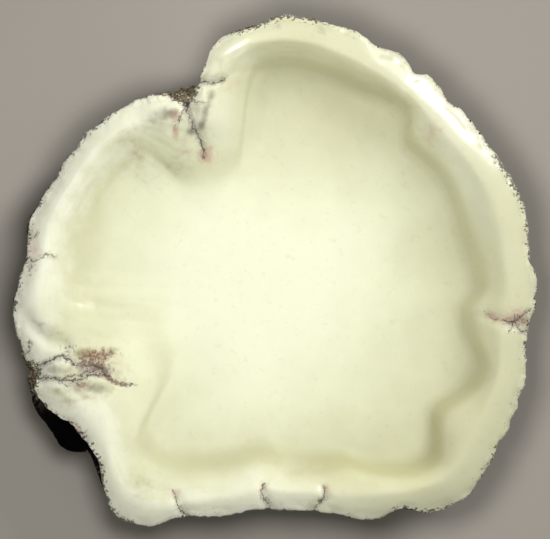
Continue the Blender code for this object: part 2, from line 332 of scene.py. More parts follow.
# How white the rind along the rim is, by angle
RIND = RoundTable((
    (0, 0.15), (24, 0.2), (40, 0.4), (60, 0.25), (84, 0.15), (96, 0.4), (118, 0.6), (140, 0.8), (165, 0.9),
    (205, 0.85), (232, 0.75), (255, 0.7), (275, 0.6), (296, 0.3), (330, 0.1),
))

# How far the dark skin stands out beyond the rim, by angle: less than nothing where it hides under it
SKIN_PROUD = RoundTable((
    (0, -1.2), (60, -1.0), (80, 0.1), (86, 0.4), (93, 0.3), (100, -0.2), (104.4, 0.4), (107.5, 2.2),
    (110, 3.3), (113, 1.6), (115, 0.5), (120, 0.1), (140, 0.2), (160, 0.1), (177, 0.0), (184, 0.7),
    (189, 0.3), (194, 0.6), (196.5, 1.9), (198.4, 2.9), (200.4, 2.8), (203, 2.0), (205, 1.2), (207, 1.8),
    (212.4, 3.2), (218.2, 4.7), (220.5, 4.1), (222.3, 3.0), (224.5, 0.9), (227.4, 1.3), (232, 0.3),
    (238, -0.6), (246, -1.5), (298, -1.5), (303, -0.4), (309, -0.4), (314, -1.2), (345, -1.2),
))

# How dark the broken edge is, by angle, where thin dark skin and specks show along it
EDGE_DARK = RoundTable((
    (0, 0.3), (12, 0.6), (20, 0.9), (26, 1.0), (31, 0.8), (36, 0.1), (60, 0.1), (72, 0.6), (80, 0.9),
    (92, 0.8), (97, 0.2), (103, 0.6), (110, 0.9), (116, 0.5), (124, 0.3), (136, 0.6), (150, 0.4), (165, 0.6),
    (172, 0.55), (180, 0.65), (188, 0.3), (194, 0.1), (198, 0.5), (201, 0.9), (205, 0.6), (210, 0.4),
    (216, 0.5), (222, 0.8), (227, 0.7), (232, 0.9), (240, 0.6), (248, 0.25), (270, 0.1), (295, 0.15),
    (307, 0.8), (315, 0.4), (322, 0.6), (335, 0.25), (345, 0.35), (352, 0.7),
))

# Furrows along the main cracks: half width, depth and course
FURROWS = tuple(Furrow(wide, deep, Course(points)) for wide, deep, points in (
    (1.3, 0.5, ((-47.2, -19.3), (-45.2, -17.9), (-42.6, -17.3), (-37.6, -18.7), (-34.6, -20.1))),
    (1.2, 0.4, ((-47.2, -21.9), (-42.0, -22.3), (-35.2, -20.5))),
    (1.5, 0.8, ((-49.6, -9.5), (-48.0, -11.7), (-45.2, -14.1), (-42.2, -14.7))),
    (1.6, 0.4, ((-17.4, 33.7), (-17.0, 31.3), (-15.0, 26.5), (-14.2, 24.9))),
    (1.2, 0.2, ((-18.2, 31.7), (-19.6, 28.5))),
    (1.1, 0.4, ((-14.6, 37.7), (-12.8, 37.3), (-10.2, 38.1))),
    (2.6, 0.7, ((-26.8, 31.1), (-24.8, 26.1), (-20.8, 19.1))),
    (1.2, 0.5, ((51.2, -10.9), (48.0, -10.9), (42.6, -8.9))),
    (1.0, 0.5, ((-17.6, -48.9), (-19.8, -44.9))),
    (1.0, 0.5, ((-0.8, -47.7), (-2.4, -43.3))),
    (1.0, 0.5, ((7.6, -47.9), (10.4, -45.3), (9.8, -43.5))),
))

# Low swellings of the face: middle, radius and height
SWELLINGS = (
    ((-43.0, -19.8), 2.6, 0.4),
    ((-47.4, -3.6), 4.5, 0.4),
    ((-40.5, -27.0), 4.5, 0.5),
    ((-13.5, 30.5), 4.0, 0.6),
    ((-21.5, 31.0), 3.0, 0.2),
    ((45.5, -13.5), 3.5, 0.3),
)

# Courses of the cracks, each after its strength
CRACKS = tuple(
    Crack(family, strength, Course(points))
    for family, rows in {
        CrackFamily.MAIN: (
            (1.0, ((-47.6, -19.2), (-45.5, -18.4), (-43.8, -17.6), (-42.5, -17.2), (-41.3, -17.7),
                  (-40.5, -18.6), (-39.1, -19.1), (-36.1, -19.1), (-34.5, -19.9), (-33.8, -21.2))),
            (0.6, ((-33.6, -21.3), (-32.1, -22.4), (-30.5, -22.9), (-28.3, -22.9))),
            (1.0, ((-17.5, 33.8), (-17.3, 32.1), (-16.6, 30.4), (-16.0, 28.4), (-15.1, 26.8), (-14.3, 25.1),
                  (-14.1, 23.1))),
            (1.0, ((51.0, -12.2), (49.6, -12.2), (48.8, -11.5), (48.0, -10.5), (46.4, -10.2))),
            (0.75, ((-17.1, -49.1), (-18.6, -48.2), (-19.1, -47.2), (-19.8, -45.6), (-20.1, -44.7))),
            (0.75, ((-1.0, -48.1), (-1.1, -46.6), (-2.1, -45.6), (-2.5, -44.2), (-2.1, -43.2))),
            (0.75, ((7.9, -48.1), (8.9, -46.6), (10.2, -45.4), (10.0, -43.6))),
        ),
        CrackFamily.SIDE: (
            (0.9, ((-47.5, -21.2), (-46.1, -21.7), (-44.1, -21.7), (-42.5, -22.1), (-40.5, -22.1),
                  (-38.8, -21.7), (-37.1, -20.9), (-35.6, -20.7), (-33.8, -21.2))),
            (0.65, ((-17.8, 33.4), (-18.2, 31.8), (-19.1, 30.1), (-19.6, 28.9))),
            (0.8, ((51.0, -8.1), (49.6, -9.3), (48.0, -10.5), (47.3, -11.8))),
        ),
        CrackFamily.CROSS: (
            (0.7, ((-41.5, -22.9), (-42.5, -22.1), (-42.1, -21.6), (-39.1, -21.1), (-37.1, -20.2),
                  (-35.1, -19.9))),
            (0.6, ((-50.1, -16.6), (-49.1, -16.2), (-48.8, -14.9), (-49.0, -14.2))),
            (0.6, ((-49.2, 5.9), (-47.8, 6.7), (-47.4, 7.5))),
            (0.6, ((-49.6, 1.7), (-47.6, 2.1), (-45.8, 3.1), (-44.4, 3.0))),
            (0.9, ((-14.5, 37.8), (-12.8, 37.4), (-10.8, 37.8), (-10.3, 38.1))),
            (0.6, ((-16.8, 34.4), (-15.8, 33.6), (-14.1, 33.6))),
            (0.8, ((48.1, -9.3), (48.0, -11.3))),
            (0.5, ((46.6, -10.3), (44.8, -9.7), (43.6, -9.4), (42.4, -8.3))),
        ),
    }.items()
    for strength, points in rows
)

# Stains, with patches of painted shade and painted light, each with its strength, middle, radii and turn
STAINS = tuple(
    Stain(kind, *row)
    for kind, rows in {
        StainKind.BROWN: (
            (1.0, (-35.4, -17.1), (3.8, 1.4), 6.0), (0.95, (-36.4, -19.3), (3.0, 0.7), -4.0),
            (0.7, (-33.6, -21.0), (1.6, 0.8), -30.0), (0.7, (-30.6, -22.7), (3.0, 0.6), -16.0),
            (0.65, (-38.8, -22.9), (1.8, 0.8)), (0.5, (-41.0, -15.2), (1.3, 0.6)),
            (0.5, (49.8, -10.0), (1.8, 1.1)),
        ),
        StainKind.PURPLE: (
            (1.0, (-35.6, -19.8), (3.6, 1.4)), (0.6, (-41.0, -15.6), (1.9, 1.3)),
            (0.6, (49.4, -9.8), (2.4, 1.8)), (0.45, (-39.6, -31.6), (2.6, 1.0), -45.0),
            (0.5, (-38.6, -33.0), (1.2, 1.2)), (0.5, (-18.4, -47.4), (1.2, 1.4)),
            (0.45, (-1.6, -45.8), (1.2, 1.5)), (0.45, (9.2, -46.4), (1.2, 1.4)),
            (0.45, (-48.6, 1.4), (1.2, 3.6)),
        ),
        StainKind.OLIVE: (
            (1.0, (-38.0, -16.4), (2.2, 1.0), 12.0), (0.7, (-32.6, -15.9), (1.8, 0.6), 5.0),
            (0.5, (-45.0, -11.4), (2.6, 1.4), -40.0), (0.5, (-43.8, -24.2), (1.6, 0.8)),
            (0.35, (-27.0, -43.0), (2.4, 3.2)), (0.35, (-27.6, 23.4), (3.2, 6.0), 20.0),
            (0.3, (-20.0, 20.6), (3.2, 2.0), -35.0), (0.55, (-41.4, -26.0), (3.2, 1.5), -35.0),
            (0.5, (-37.6, -25.4), (2.2, 0.9), -15.0),
        ),
        StainKind.GREY: (
            (0.7, (-20.6, 31.4), (2.4, 1.5), 20.0), (0.4, (-23.6, 31.0), (2.4, 2.2)),
            (0.5, (-12.4, 38.8), (2.2, 1.2)), (0.55, (-12.4, 35.3), (0.8, 1.3)),
            (0.42, (-13.4, 32.4), (0.6, 2.6), -17.0), (0.65, (-14.5, 29.1), (0.7, 1.1), -20.0),
            (0.65, (-16.7, 27.9), (1.0, 0.8)), (0.4, (-15.4, 32.0), (2.6, 3.2)),
            (0.3, (-15.0, 27.4), (2.4, 2.0)), (0.3, (-10.8, 41.4), (0.8, 1.8), 10.0),
            (0.6, (-43.4, -19.7), (2.6, 1.3)), (0.5, (-34.4, -23.4), (2.4, 1.2)),
            (0.6, (-38.4, -23.4), (4.2, 1.3), -6.0), (0.5, (-38.6, -19.4), (2.2, 1.6)),
            (0.4, (-31.6, -21.0), (2.6, 1.4), -25.0), (0.5, (-34.4, -38.9), (1.0, 1.4)),
            (0.35, (-46.8, -11.4), (3.0, 1.0), -48.0), (0.3, (38.8, 32.8), (1.2, 5.4), 46.0),
            (0.4, (-44.6, 2.9), (2.2, 0.7), -4.0), (0.45, (0.8, 49.0), (1.0, 1.0)),
            (0.5, (9.6, 48.4), (1.4, 1.4)),
        ),
        StainKind.PINK: (
            (0.5, (-19.6, -44.9), (1.2, 1.2)), (0.5, (-2.4, -43.8), (1.3, 1.4)),
            (0.5, (10.4, -43.8), (1.4, 1.3)), (0.8, (-20.0, 31.2), (1.8, 1.3)),
            (0.9, (-19.8, 27.7), (0.8, 1.5)), (0.8, (-13.6, 23.4), (1.7, 2.3)),
            (0.45, (-17.8, 23.9), (1.4, 1.6)), (0.3, (-8.6, 37.2), (1.8, 1.6)),
            (0.3, (31.2, 27.5), (3.0, 3.2)), (0.7, (43.4, -9.2), (2.6, 0.9), -20.0),
            (0.7, (48.6, -9.6), (3.2, 2.2)), (0.35, (-34.2, -18.8), (5.0, 2.8)),
            (0.45, (-38.0, -23.4), (2.2, 1.0)), (0.5, (-39.4, -32.0), (3.0, 1.4), -45.0),
            (0.35, (38.6, 34.4), (1.2, 7.0), 46.0), (0.3, (49.2, -26.8), (1.2, 3.0)),
            (0.45, (-48.0, 4.4), (1.4, 5.6)),
        ),
        StainKind.WHITE: (
            # Cloudy white lobes; the long one along the right crease's steep step is painted light
            (0.7, (-46.8, -3.9), (4.5, 4.0)), (0.6, (37.6, 19.5), (13.0, 2.4), -62.0),
            (0.7, (-10.6, 31.1), (2.8, 5.0)), (0.6, (-36.8, -29.9), (5.5, 3.5), -30.0),
            (0.4, (-30.0, -46.0), (5.0, 3.4)), (0.35, (3.0, -45.4), (8.0, 2.4)),
        ),
        # Patches of painted shade: by the top wall, along the bottom crease, on the lower right wall and at
        # the left ledge
        StainKind.THICK: (
            (0.32, (8.0, 33.0), (24.0, 13.0)), (0.3, (2.0, -37.0), (24.0, 6.0)),
            (0.35, (20.0, -41.0), (8.0, 4.5)), (0.3, (-33.0, -9.5), (7.0, 6.0)),
        ),
    }.items()
    for row in rows
)


@dataclass(frozen=True)
class StoneForm:
    """Rule of the dish's shape, the same as the solid's."""

    floor_height: float = 10.0
    floor_dishing: float = 0.7
    floor_reach: float = 42.0
    sharp_step: tuple[float, float] = (2.2, 2.8)
    soft_step: tuple[float, float] = (6.0, 1.8)
    least_reach: float = 1.5
    soft_reach: float = 7.5
    rim_reach: float = 8.0
    wall_fullness: float = 1.4
    least_wall: float = 1.5
    roll_width: float = 5.6
    roll_fullness: float = 1.6
    roll_limit: float = 1.3
    lip_drop: float = 3.2
    lip_fullness: float = 1.5
    foot_radius: float = 27.0
    belly_fullness: float = 0.75
    underside_fullness: float = 1.25
    least_rise: float = 0.02
    # Degrees to each side that an outline is evened over, and places read in them
    crease_evening: tuple[float, int] = (2.0, 5)
    rim_evening: tuple[float, int] = (7.0, 7)
    rounding: tuple[tuple[float, float, int], ...] = ((0.5, 0.7, 6), (1.0, 0.35, 12))

    def outline(self, points: Rows, angles: np.ndarray) -> np.ndarray:
        """Read a closed outline about the hub.

        Args:
            points: Places along the outline.
            angles: Directions of the rays.

        Returns:
            Radius on each ray.
        """
        rows = []
        for x, y in points:
            east, north = x - HUB[0], y - HUB[1]
            rows.append((math.degrees(math.atan2(north, east)), math.hypot(east, north)))
        return RoundTable(tuple(rows)).read(angles)

    def evened(self, points: Rows, angles: np.ndarray, spread: float | np.ndarray, places: int) -> np.ndarray:
        """Radius of a closed outline, averaged over a few degrees to each side."""
        shares = np.linspace(-1.0, 1.0, places)
        return sum(self.outline(points, (angles + spread * share) % 360.0) for share in shares) / places

    def polar(self, x: np.ndarray, y: np.ndarray) -> tuple[np.ndarray, np.ndarray]:
        """Angle and radius about the hub of each place."""
        east, north = x - HUB[0], y - HUB[1]
        return np.degrees(np.arctan2(north, east)) % 360.0, np.hypot(east, north)

    def places(self, turn: np.ndarray, radius: np.ndarray, height: np.ndarray | float) -> np.ndarray:
        """Rows of x, y and z at directions in radians, radii about the hub and heights."""
        x, y = HUB[0] + radius * np.cos(turn), HUB[1] + radius * np.sin(turn)
        return np.stack((x, y, np.zeros_like(x) + height), axis=-1)

    def section(self, angles: np.ndarray) -> tuple[np.ndarray, ...]:
        """Read the section along each ray.

        Args:
            angles: Directions of the rays.

        Returns:
            Radius of the crease, of the step's end and of the crest, then the step's and the crest's
            height.
        """
        crisp = CRISPNESS.read(angles)
        step_width = self.soft_step[0] + (self.sharp_step[0] - self.soft_step[0]) * crisp
        step_height = self.soft_step[1] + (self.sharp_step[1] - self.soft_step[1]) * crisp
        crease = self.evened(CREASE, angles, *self.crease_evening)
        crest_at = self.evened(RIM, angles, *self.rim_evening) - self.roll_width
        wall_start = np.minimum(crease + step_width, crest_at - self.least_wall)
        return crease, wall_start, crest_at, step_height, CREST.read(angles)

    def raw_face(self, x: np.ndarray, y: np.ndarray) -> np.ndarray:
        """Work out the face before its soft places are rounded.

        Args:
            x: Places along X.
            y: Places along Y.

        Returns:
            Height at each place.
        """
        angles, radius = self.polar(x, y)
        crease, wall_start, crest_at, step_height, crest = self.section(angles)
        floor = self.floor_height + self.floor_dishing * (radius / self.floor_reach) ** 2
        step = step_height * ease((radius - crease) / (wall_start - crease))
        wall_share = np.clip((radius - wall_start) / (crest_at - wall_start), 0.0, 1.0)
        rise = 1.0 - (1.0 - wall_share) ** self.wall_fullness
        roll_share = np.clip((radius - crest_at) / self.roll_width, 0.0, self.roll_limit)
        roll = ROLL_DROP.read(angles) * roll_share**self.roll_fullness
        return floor + step + (crest - floor - step_height) * rise - roll

    def face_height(self, x: np.ndarray, y: np.ndarray) -> np.ndarray:
        """Work out the face, with its soft places rounded and its furrows and swellings.

        Args:
            x: Places along X.
            y: Places along Y.

        Returns:
            Height at each place.
        """
        angles, radius = self.polar(x, y)
        to_rim = np.clip((self.outline(RIM, angles) - radius) / self.rim_reach, 0.0, 1.0)
        soft = 1.0 - CRISPNESS.read(angles)
        reach = (self.least_reach + (self.soft_reach - self.least_reach) * soft) * to_rim
        total, weights = self.raw_face(x, y), 1.0
        for share, weight, places in self.rounding:
            for place in range(places):
                turn = math.tau * place / places
                moved = (x + reach * share * math.cos(turn), y + reach * share * math.sin(turn))
                total = total + weight * self.raw_face(*moved)
                weights += weight
        height = total / weights
        for furrow in FURROWS:
            height -= furrow.depth * np.exp(-((furrow.course.nearest(x, y)[0] / furrow.half_width) ** 2))
        for (mid_x, mid_y), wide, high in SWELLINGS:
            height += high * np.exp(-(((x - mid_x) ** 2 + (y - mid_y) ** 2) / wide**2))
        return height

    def skin_ring(self, angles: np.ndarray, lip: float, turn: float) -> tuple[np.ndarray, np.ndarray]:
        """Radius and height of one ring of the natural skin.

        Args:
            angles: Directions of the rays.
            lip: Share of the way down the lip under the rim, from 0 to 1.
            turn: Angle that the skin has turned under, from 0 at the belly to 90 at the foot.

        Returns:
            Radius and height on each ray.
        """
        rim = self.outline(RIM, angles)
        belly = rim + SKIN_PROUD.read(angles)
        edge = CREST.read(angles) - ROLL_DROP.read(angles)
        if turn <= 0.0:
            return rim + (belly - rim) * lip, edge - self.lip_drop * lip**self.lip_fullness
        out, down = max(math.cos(math.radians(turn)), 0.0), math.sin(math.radians(turn))
        radius = self.foot_radius + (belly - self.foot_radius) * out**self.belly_fullness
        return radius, (edge - self.lip_drop) * (1.0 - down**self.underside_fullness)


@dataclass
class DatoliteStone:
    """The whole stone as one fine closed mesh: polished face, broken rim and natural skin."""

    form: StoneForm = field(default_factory=StoneForm)
    columns: int = 620
    floor_rings: int = 20
    step_rings: int = 10
    wall_rings: int = 38
    roll_rings: int = 22
    lip_rings: int = 14
    belly_rings: int = 36
    foot_rings: int = 4
    # Directions where the veins are and the columns stand closer: middle, half width and gain
    dense_places: tuple[tuple[float, float, float], ...] = ((109.0, 12.0, 1.4), (203.0, 16.0, 1.2))
    # Degrees that the rings' crease is evened over, where it is crisp and where it is soft
    spread: tuple[float, float] = (2.0, 16.0)
    spread_places: int = 9
    # Smooth parts of the skin painted near-black as deep shade: middle and half width
    shadow_black_places: tuple[tuple[float, float], ...] = ((218.8, 15.0), (238.0, 7.0))
    # Tan granular crust in the notches: middle and half width
    tan_places: tuple[tuple[float, float], ...] = ((109.5, 5.0), (199.5, 3.6))
    # Lumps, knobs, gravel and crumble are waves: length and height
    big_lumps: tuple[float, float] = (17.0, 2.6)
    small_lumps: tuple[float, float] = (6.5, 0.9)
    # Knobs of the skin, with sharp creases between them
    knobs: tuple[tuple[float, float], ...] = ((4.2, 0.9), (1.9, 0.5))
    gravel: tuple[float, float] = (1.1, 0.16)
    # Offset of the knobs' wave, its height, and the level that its creases are cut from
    knob_wave: tuple[float, float, float] = (9.0, 2.0, 0.3)
    # Share of the lumps that the smooth skin painted near-black as shade lacks
    shadow_black_smoothing: float = 0.85
    # Share of the lumps under the lip, and degrees before the foot in which lumps and knobs fade
    lip_lumps: float = 0.7
    foot_fade: tuple[float, float] = (30.0, 12.0)
    # Share left of the lumps that would stand out past the rim
    past_rim: float = 0.2
    edge_crumble: tuple[tuple[float, float], ...] = ((3.2, 0.4), (1.5, 0.32), (0.8, 0.2))
    # Chips and ribs of the broken edge. A wave is an offset that keeps it apart, its length and its height
    chip_reach: float = 2.4
    chip_depth: float = 0.6
    chip_waves: tuple[tuple[float, float, float], ...] = ((40.0, 2.4, 1.0), (80.0, 1.1, 0.6))
    chip_level: float = 0.25
    rib_depth: float = 0.3
    rib_wave: tuple[float, float] = (1.1, 1.6)
    rib_stretch: float = 0.2
    face_wave: tuple[float, float] = (11.0, 0.1)
    groove_half_width: float = 0.3
    groove_depth: float = 0.22
    # Pits of the veins: offset, length and height of their wave, and the share by which they lie deeper
    vein_pits: tuple[float, float, float] = (20.0, 0.9, 0.16)
    pit_sink: float = 0.3
    # Olive band and painted shade of the crease: its middle's distance from the crease and its half width, in
    # band widths
    band_middle: float = 0.45
    band_half: float = 0.62
    # Millimetres from a crack that its halo and its grains reach, and the grains' share
    halo_reach: float = 1.1
    grain_reach: float = 0.3
    grain_share: float = 0.45
    # Crumbs of the rind: reach from the rim, share on the skin and the height that they end at
    crumb_reach: float = 1.1
    crumbs_on_skin: float = 0.35
    crumb_level: float = 9.0
    # Share of the crumbs that the smooth skin painted near-black as shade lacks
    crumbs_lost: float = 0.9
    # Heights over which the grit fades towards the ground and the bare stone away from the rim
    grit_fade: float = 4.0
    bare_fade: float = 5.0
    # Share of bare stone where the edge has no dark skin
    bare_share: float = 1.1
    shift: np.ndarray = field(default_factory=lambda: np.zeros(2))

    def column_angles(self) -> np.ndarray:
        """Space the columns, closer together where the veins are.

        Returns:
            Direction of each column.
        """
        fine = np.linspace(0.0, 360.0, 3601)
        density = np.ones_like(fine)
        for middle, half_width, gain in self.dense_places:
            density += gain * np.exp(-(((fine - middle) / half_width) ** 4))
        total = np.concatenate(([0.0], np.cumsum((density[1:] + density[:-1]) / 2.0)))
        return np.interp(np.arange(self.columns) / self.columns * total[-1], total, fine)

    def face_radii(self, angles: np.ndarray) -> list[np.ndarray]:
        """Space the face's rings, from the floor out to the rim.

        Args:
            angles: Directions of the columns.

        Returns:
            For each ring, its radius on each column.
        """
        crease, wall_start, _, _, _ = self.form.section(angles)
        rim = self.form.outline(RIM, angles)
        crest_at = rim - self.form.roll_width
        spread = self.spread[0] + (self.spread[1] - self.spread[0]) * (1.0 - CRISPNESS.read(angles))
        laid = self.form.evened(CREASE, angles, spread, self.spread_places)
        wall_start = np.minimum(wall_start + laid - crease, crest_at - self.form.least_wall)
        stretches = (
            (0.0 * laid, laid, self.floor_rings),
            (laid, wall_start, self.step_rings),
            (wall_start, crest_at, self.wall_rings),
            (crest_at, rim, self.roll_rings),
        )
        radii = []
        for start, end, count in stretches:
            radii += [start + (end - start) * (k + 1) / count for k in range(count)]
        return radii

    def face_places(self, angles: np.ndarray) -> np.ndarray:
        """Place the face's points, ring by ring.

        Args:
            angles: Directions of the columns.

        Returns:
            Places by ring and column.
        """
        turn = np.radians(angles)
        rim = self.form.outline(RIM, angles)
        rings = []
        for radius in self.face_radii(angles):
            edge_share = np.clip(1.0 - (rim - radius) / self.form.roll_width, 0.0, 1.0)
            places = self.form.places(turn, radius, 0.0)
            crumble = sum(ripple(places, wave, high) for wave, high in self.edge_crumble)
            radius = radius + crumble * edge_share**2
            places = self.form.places(turn, radius, 0.0)
            height = self.form.face_height(places[:, 0], places[:, 1]) + ripple(places, *self.face_wave)
            height -= self.chips(places, turn * rim, rim - radius)
            height -= self.vein_relief(places)
            rings.append(self.form.places(turn, radius, height))
        return np.array(rings)

    def chips(self, places: np.ndarray, along: np.ndarray, to_rim: np.ndarray) -> np.ndarray:
        """Depth of the chips and short ribs of the broken edge.

        Args:
            places: Places on the face.
            along: Distance of each along the rim.
            to_rim: Distance of each from the rim.

        Returns:
            Depth at each place.
        """
        bite = np.clip(1.0 - to_rim / self.chip_reach, 0.0, 1.0)
        chips = sum(ripple(places + apart, wave, high) for apart, wave, high in self.chip_waves)
        across = np.stack((along, to_rim * self.rib_stretch, np.zeros_like(along)), axis=-1)
        ribs = np.clip(ripple(across, *self.rib_wave), 0.0, 1.0)
        chipped = np.clip(chips + self.chip_level, 0.0, 1.0)
        return bite * (self.chip_depth * chipped + self.rib_depth * ribs)

    def vein_relief(self, places: np.ndarray) -> np.ndarray:
        """Cut the open cracks, and the pits where grains have fallen out.

        Args:
            places: Places on the face.

        Returns:
            Depth at each place.
        """
        x, y = places[:, 0], places[:, 1]
        depth, near = np.zeros_like(x), np.zeros_like(x)
        for crack in CRACKS:
            distance = crack.course.nearest(x, y)[0]
            groove = self.groove_depth * np.exp(-((distance / self.groove_half_width) ** 2))
            depth = np.maximum(depth, crack.strength * groove)
        for stain in STAINS:
            if stain.kind in (StainKind.BROWN, StainKind.PURPLE):
                near = np.maximum(near, stain.cover(x, y))
        apart, wave, deep = self.vein_pits
        return depth + near * (ripple(places + apart, wave, deep) + self.pit_sink * deep)

    def skin_places(self, angles: np.ndarray, rim_ring: np.ndarray) -> np.ndarray:
        """Places of the skin's points, ring by ring, from under the rim to the foot's middle.

        Args:
            angles: Directions of the columns.
            rim_ring: Places of the rim's points, which the skin hangs from.

        Returns:
            Places by ring and column.
        """
        turn_out = np.radians(angles)
        steps = [(k / self.lip_rings, 0.0) for k in range(1, self.lip_rings + 1)]
        steps += [(1.0, 90.0 * k / self.belly_rings) for k in range(1, self.belly_rings + 1)]
        rim, rim_height = self.form.skin_ring(angles, 0.0, 0.0)
        rim_out = np.hypot(rim_ring[:, 0] - HUB[0], rim_ring[:, 1] - HUB[1]) - rim
        shown = rim + np.minimum(rim_out, 0.0) + np.maximum(SKIN_PROUD.read(angles), 0.0)
        lumpy = 1.0 - self.shadow_black_smoothing * self.shadow_black_share(angles)
        apart, tall, level = self.knob_wave
        rings = []
        for lip, turn in steps:
            radius, height = self.form.skin_ring(angles, lip, turn)
            places = self.form.places(turn_out, radius, height)
            lumps = (ripple(places, *self.big_lumps) + ripple(places, *self.small_lumps)) * lumpy
            knobs = 0.0
            for wave, high in self.knobs:
                knobs += high * (level - np.abs(ripple(places + apart, wave, tall)))
            knobs = (knobs + ripple(places, *self.gravel)) * lumpy
            coming = self.lip_lumps * lip if turn <= 0.0 else min(1.0, (90.0 - turn) / self.foot_fade[0])
            knobs_coming = min(1.0, 2.0 * lip, (90.0 - turn) / self.foot_fade[1])
            out, down = math.cos(math.radians(turn)), math.sin(math.radians(turn))
            proud = coming * lumps + knobs_coming * knobs
            radius = radius + proud * out + rim_out * (1.0 - lip)
            over = np.maximum(radius - shown, 0.0)
            radius = radius - over * (1.0 - self.past_rim)
            height = height - proud * down + (rim_ring[:, 2] - rim_height) * (height / rim_height) ** 3
            height = np.maximum(height, self.form.least_rise * (90.0 - turn))
            rings.append(self.form.places(turn_out, radius, height))
        rings[-1][:, 2] = 0.0
        middle = np.array((HUB[0], HUB[1], 0.0))
        foot = rings[-1] - middle
        rings += [foot * (1.0 - k / self.foot_rings) + middle for k in range(1, self.foot_rings)]
        return np.array(rings)

    def build(self) -> bpy.types.Object:
        """Make the stone's mesh with the attributes that its finishes read.

        Returns:
            The stone, in metres, centred over the origin.
        """
        angles = self.column_angles()
        face = self.face_places(angles)
        skin = self.skin_places(angles, face[-1])
        rings = np.concatenate((face, skin))
        middle = np.array([[HUB[0], HUB[1], self.form.floor_height]])
        foot = np.array([[HUB[0], HUB[1], 0.0]])
        places = np.concatenate((middle, rings.reshape(-1, 3), foot))
        self.shift = (places[:, :2].min(axis=0) + places[:, :2].max(axis=0)) / 2.0
        moved = (places - (self.shift[0], self.shift[1], 0.0)) * MM
        mesh = bpy.data.meshes.new("datolite_stone")
        mesh.from_pydata(moved.tolist(), [], self.faces(len(rings)))
        self.mark(mesh, places, len(face))
        mesh.shade_smooth()
        return put("datolite_stone", mesh)

    def faces(self, rings: int) -> list[tuple[int, ...]]:
        """Join the rings to each other and to the two middles, with every face outwards.

        Args:
            rings: How many rings there are.

        Returns:
            Point numbers of each face.
        """
        count = self.columns
        last = 1 + rings * count
        found = [(0, 1 + k, 1 + (k + 1) % count) for k in range(count)]
        for ring in range(rings - 1):
            inner, outer = 1 + ring * count, 1 + (ring + 1) * count
            for k in range(count):
                beside = (k + 1) % count
                found.append((inner + k, outer + k, outer + beside, inner + beside))
        inner = 1 + (rings - 1) * count
        found += [(inner + k, last, inner + (k + 1) % count) for k in range(count)]
        return found

    def shadow_black_share(self, angles: np.ndarray) -> np.ndarray:
        """How far the skin is smooth and painted near-black as deep shade, as on the bulge at the lower left.
        """
        found = sum(np.exp(-(((angles - at) / wide) ** 8)) for at, wide in self.shadow_black_places)
        return np.clip(found, 0.0, 1.0)

    def mark(self, mesh: bpy.types.Mesh, places: np.ndarray, face_rings: int) -> None:
        """Write the attributes and material numbers that the finishes read.

        Args:
            mesh: The stone's mesh.
            places: Places of its points in millimetres.
            face_rings: How many of its rings belong to the polished face.
        """
        x, y, z = places[:, 0], places[:, 1], places[:, 2]
        angles, radius = self.form.polar(x, y)
        crease = self.form.section(angles)[0]
        first_skin = 1 + self.columns * face_rings
        on_skin = np.arange(len(places)) >= first_skin
        to_rim = np.where(on_skin, 0.0, self.form.outline(RIM, angles) - radius)
        dark = EDGE_DARK.read(angles)
        values = {"to_rim": to_rim, "edge_dark": dark, "rind": RIND.read(angles)}
        # Olive band of the crease, darkened as painted shade along it
        band = CREASE_SHADE_BAND.read(angles)
        share = np.abs(radius - crease - self.band_middle * band) / (self.band_half * band)
        values["crease"] = CREASE_SHADE_TINT.read(angles) * np.exp(-(share**3))
        for kind in StainKind:
            values[kind.value] = np.minimum(sum(s.cover(x, y) for s in STAINS if s.kind is kind), 1.0)
        vein = np.maximum(values["stain_brown"], values["stain_purple"])
        for family in CrackFamily:
            nearest, side, strength = np.full(x.shape, np.inf), np.zeros(x.shape), np.zeros(x.shape)
            for crack in (c for c in CRACKS if c.family is family):
                distance, across = crack.course.nearest(x, y)
                closer = distance < nearest
                nearest, side = np.where(closer, distance, nearest), np.where(closer, across, side)
                strength = np.where(closer, crack.strength, strength)
            values[family.value] = side
            values[family.value + "_near"] = strength * np.exp(-((nearest / self.halo_reach) ** 2))
            grains = self.grain_share * strength * np.exp(-((nearest / self.grain_reach) ** 2))
            vein = np.maximum(vein, grains)
        values["vein_grains"] = np.where(on_skin, 0.0, vein**2)
        crumbs = np.where(on_skin, self.crumbs_on_skin * (z > self.crumb_level), 1.0)
        values["rim_grains"] = np.exp(-((to_rim / self.crumb_reach) ** 2)) * crumbs
        values["skin_grains"] = np.where(on_skin, np.clip(z / self.grit_fade, 0.0, 1.0), 0.0)
        # Skin painted near-black as deep shade
        shadow_black = self.shadow_black_share(angles)
        values["black_skin"] = shadow_black
        values["tan_skin"] = sum(np.exp(-(((angles - at) / wide) ** 2)) for at, wide in self.tan_places)
        values["rim_grains"] *= 1.0 - self.crumbs_lost * shadow_black
        values["skin_grains"] *= 1.0 - shadow_black
        under = CREST.read(angles) - ROLL_DROP.read(angles) - z
        values["bare_stone"] = np.clip(1.0 - under / self.bare_fade, 0.0, 1.0) * (self.bare_share - dark)
        for name, value in values.items():
            layer = mesh.attributes.new(name, "FLOAT", "POINT")
            layer.data.foreach_set("value", value.astype(np.float32))
        numbers = np.zeros(len(mesh.polygons), np.int32)
        numbers[self.columns * face_rings :] = 1
        mesh.polygons.foreach_set("material_index", numbers)


